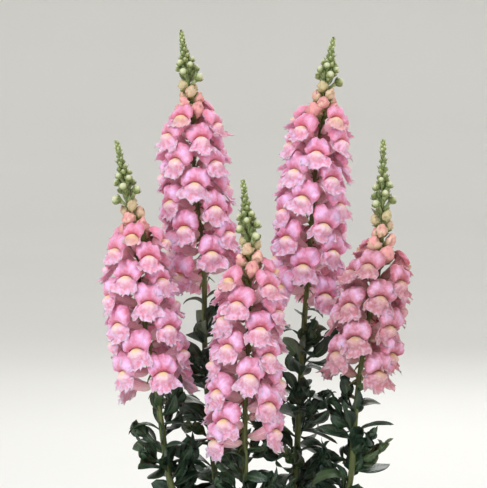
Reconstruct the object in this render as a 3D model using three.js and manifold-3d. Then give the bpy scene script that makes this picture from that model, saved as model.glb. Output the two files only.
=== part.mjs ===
// A snapdragon plant with five flowering stems in a plain clay pot. Millimetres, +Z up.
// The origin is the centre of the pot's underside. -Y is the front, where the shortest stem stands.
//
// Each stem is one solid with its leaves and its green tip buds. Its open flowers are a second solid: every
// flower is rooted in a slim sleeve that the stem passes through with a small clearance.
import * as THREE from "three";
import { mergeVertices } from "three/addons/utils/BufferGeometryUtils.js";
import Module from "manifold-3d";

const wasm = await Module();
wasm.setup();

// ---------------------------------------------------------------- driving dimensions

const GAP = 0.45; // clearance between neighbouring solids, measured at a polygon's corners
const DIVERGENCE = 137.5; // degrees from one leaf or flower to the next, round the stem

const POT = {
  height: 160,
  footRadius: 69,
  bodyRadius: 91, // outside, just under the rim band
  rimRadius: 100,
  rimHeight: 34,
  wall: 8,
  floor: 10,
  drainCount: 4,
  drainRadius: 6,
  drainCircle: 36,
  sides: 24,
};
const SOIL_TOP = 142; // height of the soil at the pot's wall
const SOIL_MOUND = 7; // how much higher it stands in the middle
const HOLE_DEPTH = 24; // how far a stem goes down into the soil

// A stem that gives no foot radius of its own has radiusFoot.
const STEM = { sides: 5, steps: 11, radiusFoot: 3.6, radiusBloom: 2.8, radiusTip: 1.1 };
const SLEEVE = { radius: 5, steps: 4, below: 5 }; // below: how far it reaches below the lowest flower's root

// Angles are in degrees. Rise tips a piece up from the level, and a stray is the most by which it is off its
// rule.
const FLOWER = {
  sizeFoot: 1.04, // scale of the lowest flower and of the topmost open one
  sizeTop: 0.95,
  crowding: 0.16, // how much closer than average the topmost flowers stand
  riseFoot: -9,
  riseTop: 18,
  riseStray: 7,
  turnStray: 12,
  rollStray: 13,
  openTop: 0.6, // how far the topmost flower has opened
};
const PINK_BUD = {
  count: 9, lengthFoot: 26, lengthTop: 17, slimness: 0.28, riseFoot: 54, riseTop: 58, sides: 5,
};
const PINK_BUD_STEP = 0.04; // from one pink bud to the next, as a share of the line above the open flowers
const GREEN_BUD = {
  count: 14, clear: 0.014, topShare: 0.975, crowding: 0.85, lengthFoot: 20, lengthTop: 7, slimness: 0.3,
  riseFoot: 28, riseTop: 74, tipLength: 13, sides: 4,
};
const LEAF = {
  lengthFoot: 54,
  lengthTop: 24,
  lengthStray: 0.16, // as a share of the length
  widthShare: 0.5,
  arch: 66, // how far a leaf bends down from its root to its tip
  thick: 1.5, // at the rib
  fold: 0.28, // how high the edges stand above the rib, as a share of half the width
  spacing: 7.5,
  lowest: 24, // height of the lowest leaf's root above the soil
  belowFlowers: 9,
  turn: 60, // from the stem's turn to its lowest leaf
  turnStray: 14,
  riseFoot: 10,
  riseTop: 46,
  riseStray: 24,
  riseOverRim: 40, // how much more the lowest leaf rises, to clear the pot
  rollStray: 46,
  stations: [0.3, 0.68],
};
// A side shoot of two leaves stands in the axil of every sixth leaf of a stem's lower part.
const SHOOT = {
  every: 6, upTo: 0.85, above: 5, lengthFoot: 54, lengthTop: 31, lengthStray: 8, riseFoot: 30, riseTop: 52,
  riseStray: 14, spread: 76, stations: [0.5],
};
// What is tried in turn where a leaf is in the way of something: degrees of lift, and size.
const LIFTS = [[0, 1], [14, 1], [28, 0.95], [-16, 0.9], [40, 0.8], [50, 0.6], [60, 0.45]];

// Each stem: the points that its middle line passes through, from the soil up to the tip, the heights of its
// lowest and topmost open flower, how many it has, the turn of its first leaf and flower in degrees, and by
// how many degrees its flowers are drawn into four rows, at the front and back corners.
const STEMS = [
  {
    name: "left",
    line: [[-50, -8, 142], [-76, -12, 182], [-92, -15, 222], [-104, -18, 305], [-120, -20, 402],
      [-124, -20, 462], [-134, -19, 511], [-144, -18, 561]],
    flowersFrom: 312, flowersTo: 451, flowers: 29, turn: 20, rowPull: 3, footRadius: 4.6,
  },
  {
    name: "back_left",
    line: [[-26, 22, 142], [-42, 34, 190], [-50, 40, 240], [-58, 44, 350], [-59, 45, 431],
      [-68, 46, 520], [-73, 46, 607], [-82, 45, 673]],
    flowersFrom: 415, flowersTo: 570, flowers: 32, turn: 95, rowPull: 5,
  },
  {
    name: "front",
    line: [[-6, -28, 142], [-11, -40, 180], [-16, -46, 222], [-17, -48, 290], [-14, -48, 364],
      [-12, -48, 447], [-15, -47, 485], [-19, -46, 522]],
    flowersFrom: 266, flowersTo: 415, flowers: 31, turn: 200, rowPull: 9,
  },
  {
    name: "back_right",
    line: [[22, 24, 142], [31, 36, 190], [36, 42, 240], [41, 47, 332], [47, 50, 420],
      [55, 52, 528], [63, 52, 595], [73, 51, 666]],
    flowersFrom: 396, flowersTo: 571, flowers: 36, turn: 300, rowPull: 7,
  },
  {
    name: "right",
    line: [[48, -8, 142], [74, -13, 182], [88, -17, 222], [94, -20, 301], [105, -22, 385],
      [116, -22, 435], [119, -21, 492], [119.5, -20, 562]],
    flowersFrom: 327, flowersTo: 430, flowers: 22, turn: 150, rowPull: 9,
  },
];

const GREEN = { color: 0x3d5a35, roughness: 0.6, metalness: 0 };
const PINK = { color: 0xe79bb8, roughness: 0.65, metalness: 0 };
const CLAY = { color: 0xb5704c, roughness: 0.9, metalness: 0 };
const EARTH = { color: 0x3b2a1f, roughness: 1, metalness: 0 };

// ---------------------------------------------------------------- solids

const mix = (a, b, t) => a + (b - a) * t;
const radians = THREE.MathUtils.degToRad;
// A smooth, repeatable wobble between -1 and 1 for the k-th piece.
const wobble = (k, seed) => Math.sin(k * 2.399 + seed * 1.7) * 0.6 + Math.sin(k * 5.13 + seed * 0.9) * 0.4;

function solidOf(geometry) {
  const bare = geometry.clone();
  for (const name of Object.keys(bare.attributes)) {
    if (name !== "position") bare.deleteAttribute(name);
  }
  const merged = mergeVertices(bare, 1e-4);
  return new wasm.Manifold(new wasm.Mesh({
    numProp: 3,
    vertProperties: merged.attributes.position.array,
    triVerts: new Uint32Array(merged.index.array),
  }));
}

function meshOf(solid, name, look) {
  const made = solid.getMesh();
  const geometry = new THREE.BufferGeometry();
  geometry.setAttribute("position", new THREE.BufferAttribute(made.vertProperties, 3));
  geometry.setIndex(new THREE.BufferAttribute(made.triVerts, 1));
  geometry.computeVertexNormals();
  const mesh = new THREE.Mesh(geometry, new THREE.MeshStandardMaterial(look));
  mesh.name = name;
  return mesh;
}

// A closed surface under construction: points, and triangles that name them by number.
class Skin {
  constructor() {
    this.points = [];
    this.faces = [];
  }

  add(x, y, z) {
    this.points.push(new THREE.Vector3(x, y, z));
    return this.points.length - 1;
  }

  ring(rows) {
    return rows.map((p) => this.add(...p));
  }

  // Joins two rings that turn the same way, which may hold different numbers of points.
  bridge(low, high) {
    let i = 0;
    let j = 0;
    while (i < low.length || j < high.length) {
      const a = low[i % low.length];
      const b = high[j % high.length];
      if (j >= high.length || (i < low.length && (i + 0.5) / low.length < (j + 0.5) / high.length)) {
        this.faces.push([a, low[(i + 1) % low.length], b]);
        i += 1;
      } else {
        this.faces.push([a, high[(j + 1) % high.length], b]);
        j += 1;
      }
    }
  }

  fan(ring, tip) {
    ring.forEach((a, i) => this.faces.push([a, ring[(i + 1) % ring.length], tip]));
  }

  cone(foot, ring) {
    ring.forEach((a, i) => this.faces.push([foot, ring[(i + 1) % ring.length], a]));
  }

  cap(ring) {
    for (let i = 1; i < ring.length - 1; i++) this.faces.push([ring[0], ring[i + 1], ring[i]]);
  }

  solid(matrix) {
    const positions = [];
    const placed = this.points.map((p) => (matrix ? p.clone().applyMatrix4(matrix) : p));
    for (const face of this.faces) positions.push(...face.flatMap((k) => placed[k].toArray()));
    const geometry = new THREE.BufferGeometry();
    geometry.setAttribute("position", new THREE.Float32BufferAttribute(positions, 3));
    return solidOf(geometry);
  }
}

// ---------------------------------------------------------------- the stems' middle lines

class StemLine {
  constructor(points) {
    const corners = points.map((p) => new THREE.Vector3(...p));
    this.curve = new THREE.CatmullRomCurve3(corners, false, "catmullrom", 0.5);
    this.curve.arcLengthDivisions = 800;
    this.length = this.curve.getLength();
  }

  // The share of the line's length at which it reaches a height.
  shareAt(height) {
    let low = 0;
    let high = 1;
    for (let n = 0; n < 30; n++) {
      const middle = (low + high) / 2;
      if (this.curve.getPointAt(middle).z < height) low = middle;
      else high = middle;
    }
    return (low + high) / 2;
  }

  // Stands at a share of the length with X pointing away from the stem at an azimuth and Z along the stem.
  // The piece is then tipped up by rise degrees, rolled about its own length and scaled.
  place(share, azimuth, rise = 0, scale = 1, roll = 0) {
    const along = this.curve.getTangentAt(share);
    const out = new THREE.Vector3(Math.cos(radians(azimuth)), Math.sin(radians(azimuth)), 0);
    out.addScaledVector(along, -out.dot(along)).normalize();
    const side = new THREE.Vector3().crossVectors(along, out);
    return new THREE.Matrix4().makeBasis(out, side, along)
      .setPosition(this.curve.getPointAt(share))
      .multiply(new THREE.Matrix4().makeRotationY(-radians(rise)))
      .multiply(new THREE.Matrix4().makeRotationX(radians(roll)))
      .multiply(new THREE.Matrix4().makeScale(scale, scale, scale));
  }
}

// A tube of STEM.sides sides along a stem's line between two shares. radiusAt gives its radius, and the first
// ring is set back by below millimetres.
function tube(line, from, to, steps, radiusAt, below = 0) {
  const skin = new Skin();
  let last = null;
  for (let n = 0; n <= steps; n++) {
    const share = mix(from, to, n / steps);
    const shift = n === 0 ? -below : 0;
    const frame = line.place(share, 0);
    const ring = skin.ring(Array.from({ length: STEM.sides }, (_, k) => {
      const turn = (k / STEM.sides) * 2 * Math.PI;
      const r = radiusAt(share);
      return new THREE.Vector3(r * Math.cos(turn), r * Math.sin(turn), shift).applyMatrix4(frame).toArray();
    }));
    if (last) skin.bridge(last, ring);
    else skin.cap(ring);
    last = ring;
  }
  skin.cap([...last].reverse());
  return skin.solid();
}

// ---------------------------------------------------------------- one flower, leaf and bud

// A closed snapdragon mouth: a tube, a two-lobed hood that rolls back and a three-lobed lower lip under its
// swollen palate. X points away from the stem. open is 1 for a full flower and less for a young one.
function flower(matrix, open) {
  const skin = new Skin();
  const both = (rows) => [...rows.map(([x, y, z]) => [x, -y, z]), ...rows.slice(1, -1).reverse()];
  const root = skin.add(0, 0, 0);
  const throat = skin.ring([[19.8, 0, 16.4], [24, -6.4, 8], [24, 6.4, 8]]);
  const rim = skin.ring(both([
    [22.2, 0, 27],
    [22.2, 8 * open, 26],
    [24.8, 12.6 * open, 18],
    [29.6, 10, 9],
    [35.4, 15.4 * open, 0.2],
    [36.6, 8.6 * open, -4.2],
    [39.6, 0, -7.8],
  ]));
  const hood = skin.add(32.2, 0, 23.6);
  const crease = skin.add(31.8, 0, 15);
  const palate = skin.add(37.8, 0, 10);
  skin.cone(root, throat);
  skin.bridge(throat, rim);
  // The rim's points: 0 is the top, 1 to 5 run down one side, 6 is the lowest lobe and 7 to 11 run up the
  // other side. 3 and 9 are the mouth's corners.
  const face = (a, b, c) => skin.faces.push([a, b, c]);
  [9, 10, 11, 0, 1, 2].forEach((a) => face(rim[a], rim[(a + 1) % 12], hood));
  [3, 4, 5, 6, 7, 8].forEach((a) => face(rim[a], rim[a + 1], palate));
  face(rim[3], crease, hood);
  face(crease, rim[9], hood);
  face(rim[3], palate, crease);
  face(palate, rim[9], crease);
  return skin.solid(matrix);
}

// A pointed blade, arched down along its length and folded a little at the rib. It starts inside the stem.
function leaf(matrix, length, stations) {
  const arch = radians(LEAF.arch);
  const reach = (t) => (length * Math.sin(arch * t)) / arch;
  const drop = (t) => (length * (Math.cos(arch * t) - 1)) / arch;
  const skin = new Skin();
  const base = skin.add(0, 0, -0.4);
  let last = null;
  for (const t of stations) {
    const half = ((length * LEAF.widthShare) / 2) * Math.sin(Math.PI * Math.min(1, t ** 0.75)) ** 0.8;
    const x = reach(t);
    const z = drop(t);
    const rib = LEAF.thick * (1 - 0.35 * t);
    const edge = z + LEAF.fold * half;
    const ring = skin.ring([[x, -half, edge], [x, 0, z - rib], [x, half, edge]]);
    if (last) skin.bridge(last, ring);
    else skin.cone(base, ring);
    last = ring;
  }
  const tip = skin.add(reach(1), 0, drop(1));
  skin.fan(last, tip);
  return skin.solid(matrix);
}

// A pointed egg on a short stalk that starts inside the stem.
function bud(matrix, length, radius, sides) {
  const skin = new Skin();
  const foot = skin.add(0, 0, 0);
  const ring = skin.ring(Array.from({ length: sides }, (_, k) => {
    const turn = (k / sides) * 2 * Math.PI;
    return [length * 0.62, radius * Math.cos(turn), radius * Math.sin(turn)];
  }));
  const tip = skin.add(length, 0, 0);
  skin.cone(foot, ring);
  skin.fan(ring, tip);
  return skin.solid(matrix);
}

// ---------------------------------------------------------------- the pot and the soil

function pot() {
  const { height, footRadius, bodyRadius, rimRadius, rimHeight, wall, floor, sides } = POT;
  const under = height - rimHeight;
  const profile = [
    [0, 0], [footRadius - 2, 0], [footRadius, 2],
    [bodyRadius, under], [rimRadius, under], [rimRadius, height - 3], [rimRadius - 3, height],
    [rimRadius - wall - 3, height], [bodyRadius - wall, under], [footRadius - wall + 3, floor + 4],
    [footRadius - wall - 3, floor], [0, floor],
  ].map(([x, y]) => new THREE.Vector2(x, y));
  let made = solidOf(new THREE.LatheGeometry(profile, sides).rotateX(Math.PI / 2));
  for (let k = 0; k < POT.drainCount; k++) {
    const turn = ((k + 0.5) / POT.drainCount) * 2 * Math.PI;
    const drain = new THREE.CylinderGeometry(POT.drainRadius, POT.drainRadius, 3 * floor, 8)
      .rotateX(Math.PI / 2)
      .translate(POT.drainCircle * Math.cos(turn), POT.drainCircle * Math.sin(turn), floor / 2);
    made = made.subtract(solidOf(drain));
  }
  return made;
}

function potInsideRadius(height) {
  const under = POT.height - POT.rimHeight;
  const foot = POT.footRadius - POT.wall + 3;
  return height <= under
    ? mix(foot, POT.bodyRadius - POT.wall, (height - POT.floor - 4) / (under - POT.floor - 4))
    : mix(POT.bodyRadius - POT.wall, POT.rimRadius - POT.wall - 3, (height - under) / POT.rimHeight);
}

function soil(stemHoles) {
  const low = POT.floor + 4;
  const under = POT.height - POT.rimHeight;
  const wallRadius = potInsideRadius(SOIL_TOP) - GAP;
  const profile = [
    [0, POT.floor + GAP], [POT.footRadius - POT.wall - 3 - GAP, POT.floor + GAP],
    [potInsideRadius(low) - GAP, low], [potInsideRadius(under) - GAP, under], [wallRadius, SOIL_TOP - 2],
    [wallRadius - 6, SOIL_TOP], [0, SOIL_TOP + SOIL_MOUND],
  ].map(([x, y]) => new THREE.Vector2(x, y));
  let made = solidOf(new THREE.LatheGeometry(profile, POT.sides).rotateX(Math.PI / 2));
  for (const hole of stemHoles) made = made.subtract(hole);
  return made;
}

// ---------------------------------------------------------------- the plant

// How far up the flowering part the k-th of n flowers stands, from 0 to 1. They close up towards the top.
const climb = (k, n) => {
  const t = k / (n - 1);
  return t * (1 + FLOWER.crowding) - FLOWER.crowding * t * t;
};

class Stem {
  constructor(spec, number) {
    this.spec = spec;
    this.number = number;
    // The line is carried on below the soil, straight, for the part that stands in its hole.
    const [first, second] = spec.line;
    const down = new THREE.Vector3(...first).sub(new THREE.Vector3(...second)).normalize();
    down.multiplyScalar(HOLE_DEPTH);
    const foot = new THREE.Vector3(...first).add(down).toArray();
    this.line = new StemLine([foot, ...spec.line]);
    this.bloomFrom = this.line.shareAt(spec.flowersFrom);
    this.bloomTo = this.line.shareAt(spec.flowersTo);
    const footRadius = spec.footRadius ?? STEM.radiusFoot;
    this.radiusAt = (share) => (share < this.bloomFrom
      ? mix(footRadius, STEM.radiusBloom, share / this.bloomFrom)
      : mix(STEM.radiusBloom, STEM.radiusTip, (share - this.bloomFrom) / (1 - this.bloomFrom)));
  }

  stalk() {
    return tube(this.line, 0, 1, STEM.steps, this.radiusAt);
  }

  hole() {
    const wide = (share) => this.radiusAt(share) + GAP;
    return tube(this.line, 0, 1, STEM.steps, wide, GAP);
  }

  pinkBudShare(k) {
    return this.bloomTo + (1 - this.bloomTo) * PINK_BUD_STEP * (k + 1);
  }

  flowers() {
    const { flowers: count, turn, rowPull } = this.spec;
    const made = [];
    for (let k = 0; k < count; k++) {
      const up = climb(k, count);
      const share = mix(this.bloomFrom, this.bloomTo, up);
      const rule = turn + k * DIVERGENCE;
      const drawn = rowPull * Math.sin(radians(4 * rule));
      const azimuth = rule + drawn + FLOWER.turnStray * wobble(k, this.number);
      const nod = FLOWER.riseStray * wobble(k + 40, this.number);
      const rise = mix(FLOWER.riseFoot, FLOWER.riseTop, up ** 2) + nod;
      const size = mix(FLOWER.sizeFoot, FLOWER.sizeTop, up ** 1.5);
      const roll = FLOWER.rollStray * wobble(k + 9, this.number + 2);
      made.push(flower(this.line.place(share, azimuth, rise, size, roll), mix(1, FLOWER.openTop, up ** 4)));
    }
    for (let k = 0; k < PINK_BUD.count; k++) {
      made.push(this.bud(PINK_BUD, this.pinkBudShare(k), count + k, k / (PINK_BUD.count - 1)));
    }
    const to = this.pinkBudShare(PINK_BUD.count - 1) + GREEN_BUD.clear / 2;
    const from = this.bloomFrom - SLEEVE.below / this.line.length;
    const sleeve = tube(this.line, from, to, SLEEVE.steps, () => SLEEVE.radius);
    return sleeve.add(wasm.Manifold.union(made)).subtract(this.hole());
  }

  // A bud some way up its own kind's stretch, from 0 to 1. number counts from the lowest flower.
  bud(kind, share, number, up) {
    const length = mix(kind.lengthFoot, kind.lengthTop, up ** 0.65);
    const azimuth = this.spec.turn + number * DIVERGENCE;
    const place = this.line.place(share, azimuth, mix(kind.riseFoot, kind.riseTop, up ** 0.6));
    return bud(place, length, length * kind.slimness, kind.sides);
  }

  greenBuds() {
    const { count, clear, topShare, crowding, tipLength, slimness, sides } = GREEN_BUD;
    const first = this.spec.flowers + PINK_BUD.count;
    const from = this.pinkBudShare(PINK_BUD.count - 1) + clear;
    const made = Array.from({ length: count - 1 }, (_, k) => {
      const up = k / (count - 1);
      return this.bud(GREEN_BUD, mix(from, topShare, up ** crowding), first + k, up);
    });
    made.push(bud(this.line.place(topShare, 0, 90), tipLength, tipLength * slimness, sides));
    return made;
  }

  // Leaves wind up the stem and get shorter. A leaf that would cross what is already there is lifted until it
  // is clear, and then shortened.
  leaves(taken) {
    const made = [];
    const low = this.line.shareAt(SOIL_TOP + LEAF.lowest);
    const high = this.bloomFrom - LEAF.belowFlowers / this.line.length;
    const count = Math.round(((high - low) * this.line.length) / LEAF.spacing);
    for (let k = 0; k < count; k++) {
      const up = k / (count - 1);
      const share = mix(low, high, up);
      const stray = (seed) => wobble(k, this.number + seed);
      const azimuth = this.spec.turn + LEAF.turn + k * DIVERGENCE + LEAF.turnStray * stray(3);
      const length = mix(LEAF.lengthFoot, LEAF.lengthTop, up ** 1.8) * (1 + LEAF.lengthStray * stray(7));
      const overRim = LEAF.riseOverRim * (1 - up) ** 8;
      const rise = mix(LEAF.riseFoot, LEAF.riseTop, up) + LEAF.riseStray * stray(11) + overRim;
      const roll = LEAF.rollStray * stray(17);
      const blade = (lift, size) => leaf(this.line.place(share, azimuth, rise + lift, size, roll), length,
        LEAF.stations);
      made.push(...clearOf(taken, blade));
      if (k % SHOOT.every === 1 && up < SHOOT.upTo) made.push(...this.shoot(share, up, azimuth, k, taken));
    }
    return made;
  }

  // The two leaves of a side shoot in the k-th leaf's axil.
  shoot(share, up, azimuth, k, taken) {
    const { lengthFoot, lengthTop, lengthStray, riseFoot, riseTop, riseStray } = SHOOT;
    const length = mix(lengthFoot, lengthTop, up) + lengthStray * wobble(k, this.number + 5);
    const rise = mix(riseFoot, riseTop, up) + riseStray * wobble(k, this.number + 9);
    const foot = share + SHOOT.above / this.line.length;
    return [-0.5, 0.5].flatMap((side) => clearOf(taken, (lift, size) => leaf(
      this.line.place(foot, azimuth + side * SHOOT.spread, rise + lift, size),
      length,
      SHOOT.stations,
    )));
  }
}

// Tries a blade lifted and shortened step by step until it is clear of the solid that is taken.
function clearOf(taken, blade) {
  for (const [lift, size] of LIFTS) {
    const made = blade(lift, size);
    if (taken.minGap(made, 2 * GAP) > GAP) return [made];
  }
  return [];
}

const stems = STEMS.map((spec, number) => new Stem(spec, number));
const plant = new THREE.Group();
plant.name = "snapdragon_plant";

const blooms = stems.map((stem) => stem.flowers());
const stalks = stems.map((stem) => stem.stalk());
const clayPot = pot();
const bed = soil(stems.map((stem) => stem.hole()));

// Leaves are placed one stem after the other, each clear of all other stems, flowers, the pot and the soil.
const greens = [];
stems.forEach((stem, n) => {
  const others = [...blooms, ...stalks.filter((_, k) => k > n), ...greens, clayPot, bed];
  const taken = wasm.Manifold.union(others);
  greens.push(wasm.Manifold.union([stalks[n], ...stem.greenBuds(), ...stem.leaves(taken)]));
});

plant.add(meshOf(clayPot, "pot", CLAY), meshOf(bed, "soil", EARTH));
stems.forEach((stem, n) => {
  plant.add(meshOf(greens[n], `stem_${stem.spec.name}`, GREEN));
  plant.add(meshOf(blooms[n], `flowers_${stem.spec.name}`, PINK));
});

export default plant;
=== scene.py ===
"""A snapdragon plant with five flowering stems in a clay pot.

The solid model is the frame: every piece here stands where the solid that it stands for stands. The lines of
the stems and the rules that set leaves, flowers and buds on them are the solid model's. Blender works in
metres, with +Z up and -Y at the front. Shapes of single flowers, leaves and buds are written in millimetres.
"""

import math
import random

import bpy
import numpy as np
from mathutils import Matrix, Vector, noise


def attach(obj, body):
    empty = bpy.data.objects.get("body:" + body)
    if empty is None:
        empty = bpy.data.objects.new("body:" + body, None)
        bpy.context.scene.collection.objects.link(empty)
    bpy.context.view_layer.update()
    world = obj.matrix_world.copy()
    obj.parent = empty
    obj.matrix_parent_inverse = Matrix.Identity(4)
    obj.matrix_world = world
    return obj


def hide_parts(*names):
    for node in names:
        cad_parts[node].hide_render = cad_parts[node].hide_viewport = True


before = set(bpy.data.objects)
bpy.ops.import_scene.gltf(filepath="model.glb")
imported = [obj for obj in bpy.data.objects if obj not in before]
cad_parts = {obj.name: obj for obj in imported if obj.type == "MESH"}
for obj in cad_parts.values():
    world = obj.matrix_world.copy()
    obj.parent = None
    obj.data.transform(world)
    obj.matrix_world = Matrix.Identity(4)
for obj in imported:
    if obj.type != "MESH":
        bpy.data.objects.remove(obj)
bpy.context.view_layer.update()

MM = 0.001
DIVERGENCE = 137.5  # degrees from one leaf or flower to the next, round the stem

# ---------------------------------------------------------------- the plant's dimensions, in millimetres

POT_HEIGHT = 160
POT_FOOT_RADIUS = 69
POT_BODY_RADIUS = 91
POT_RIM_RADIUS = 100
POT_RIM_HEIGHT = 34
POT_WALL = 8
POT_FLOOR = 10
SOIL_TOP = 142
SOIL_MOUND = 7
HOLE_DEPTH = 24

STEM_RADII = (3.6, 2.8, 1.1)  # at the foot, at the lowest flower and at the tip

# Each stem: its middle line from the soil to the tip, the heights of its lowest and topmost open flower, how
# many it has, the turn of its first leaf and flower in degrees, by how many degrees its flowers are drawn to
# four rows, at the front and back corners, and how far their pink is warmed and darkened, partly as a warmer
# pink and partly as painted shade. A foot radius is its own.
STEMS = {
    "left": {
        "line": [(-50, -8, 142), (-76, -12, 182), (-92, -15, 222), (-104, -18, 305), (-120, -20, 402),
                 (-124, -20, 462), (-134, -19, 511), (-144, -18, 561)],
        "flowering": (312, 451), "flowers": 29, "turn": 20, "row pull": 3, "blush": 0.05,
        "foot radius": 4.6,
    },
    "back_left": {
        "line": [(-26, 22, 142), (-42, 34, 190), (-50, 40, 240), (-58, 44, 350), (-59, 45, 431),
                 (-68, 46, 520), (-73, 46, 607), (-82, 45, 673)],
        "flowering": (415, 570), "flowers": 32, "turn": 95, "row pull": 5, "blush": 0.05,
    },
    "front": {
        "line": [(-6, -28, 142), (-11, -40, 180), (-16, -46, 222), (-17, -48, 290), (-14, -48, 364),
                 (-12, -48, 447), (-15, -47, 485), (-19, -46, 522)],
        "flowering": (266, 415), "flowers": 31, "turn": 200, "row pull": 9, "blush": 0.25,
    },
    "back_right": {
        "line": [(22, 24, 142), (31, 36, 190), (36, 42, 240), (41, 47, 332), (47, 50, 420),
                 (55, 52, 528), (63, 52, 595), (73, 51, 666)],
        "flowering": (396, 571), "flowers": 36, "turn": 300, "row pull": 7, "blush": 0.0,
    },
    "right": {
        "line": [(48, -8, 142), (74, -13, 182), (88, -17, 222), (94, -20, 301), (105, -22, 385),
                 (116, -22, 435), (119, -21, 492), (119.5, -20, 562)],
        "flowering": (327, 430), "flowers": 22, "turn": 150, "row pull": 9, "blush": 1.0,
    },
}

# A pair gives the value of the lowest piece and of the topmost. Angles are in degrees: a rise tips a piece
# up from the level, and a stray is the most by which it is off its rule.
FLOWER = {"sizes": (1.04, 0.95), "rises": (-9, 18), "crowding": 0.16,  # how much closer the topmost stand
          "turn stray": 12, "rise stray": 7, "roll stray": 13}
LEAF = {"spacing": 7.5, "lowest": 24, "below flowers": 9, "turn": 60, "lengths": (54, 24), "rises": (10, 46),
        "rise over rim": 40, "length stray": 0.16, "turn stray": 14, "rise stray": 24, "roll stray": 46}
SHOOT = {"every": 2, "up to": 0.85, "above": 5, "lengths": (66, 44), "rises": (30, 52), "length stray": 9,
         "rise stray": 14}

# Buds get smaller towards the tip. From a share of their row on, their sepals are still shut.
PINK_BUDS = {"count": 9, "first length": 28, "last length": 18, "first rise": 54, "last rise": 58,
             "crowding": 1, "shut from": 2, "tip length": 0}
GREEN_BUDS = {"count": 27, "first length": 20.5, "last length": 7.4, "first rise": 36, "last rise": 72,
              "crowding": 0.74, "shut from": 0.36, "tip length": 13}
PINK_BUD_STEP = 0.04  # from one pink bud to the next, as a share of the line above the open flowers
GREEN_BUDS_CLEAR = 0.014  # from the last pink bud to the first green one, as a share of the stem's line
GREEN_BUDS_TO = 0.975


def mix(a, b, t):
    return a + (b - a) * t


def catmull_rom(a, b, c, d, t):
    """A point between b and c on the smooth line that runs through all four."""
    return b + 0.5 * t * (c - a + t * (2 * a - 5 * b + 4 * c - d + t * (3 * (b - c) + d - a)))


def smooth(low, high, x):
    """0 below low, 1 above high and a soft step between them."""
    t = np.clip((np.asarray(x, float) - low) / (high - low), 0, 1)
    return t * t * (3 - 2 * t)


# ---------------------------------------------------------------- writing node trees as formulas


def formula(operation, swapped=False):
    """A method that puts a maths node between a term and another one, or a number."""
    def joined(self, other):
        return self.tree.maths(operation, *((other, self) if swapped else (self, other)))
    return joined


class Term:
    """The output of a node, which can stand in a formula."""

    def __init__(self, tree, socket):
        self.tree, self.socket = tree, socket

    __add__ = __radd__ = formula("ADD")
    __sub__ = formula("SUBTRACT")
    __rsub__ = formula("SUBTRACT", swapped=True)
    __mul__ = __rmul__ = formula("MULTIPLY")
    __truediv__ = formula("DIVIDE")
    __pow__ = formula("POWER")
    __mod__ = formula("FLOORED_MODULO")
    __gt__ = formula("GREATER_THAN")
    __lt__ = formula("LESS_THAN")


class Nodes:
    """Adds nodes to a tree and links them."""

    def __init__(self, group):
        self.group = group

    def node(self, kind, feeds=(), **settings):
        made = self.group.nodes.new(kind)
        for name, value in settings.items():
            setattr(made, name, value)
        for name, value in dict(feeds).items():
            self.feed(made.inputs[name], value)
        return made

    def feed(self, socket, value):
        if isinstance(value, Term):
            self.group.links.new(value.socket, socket)
        elif isinstance(value, bpy.types.NodeSocket):
            self.group.links.new(value, socket)
        else:
            socket.default_value = value

    def maths(self, operation, *terms):
        node = self.node("ShaderNodeMath", dict(enumerate(terms)), operation=operation)
        return Term(self, node.outputs[0])

    def vector(self, x, y, z):
        return self.node("ShaderNodeCombineXYZ", {0: x, 1: y, 2: z}).outputs[0]


# What the trees' inputs are that aren't plain numbers.
INPUT_KINDS = {"count": "Int", "seed": "Int", "kinds": "Collection", "material": "Material"}


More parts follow.
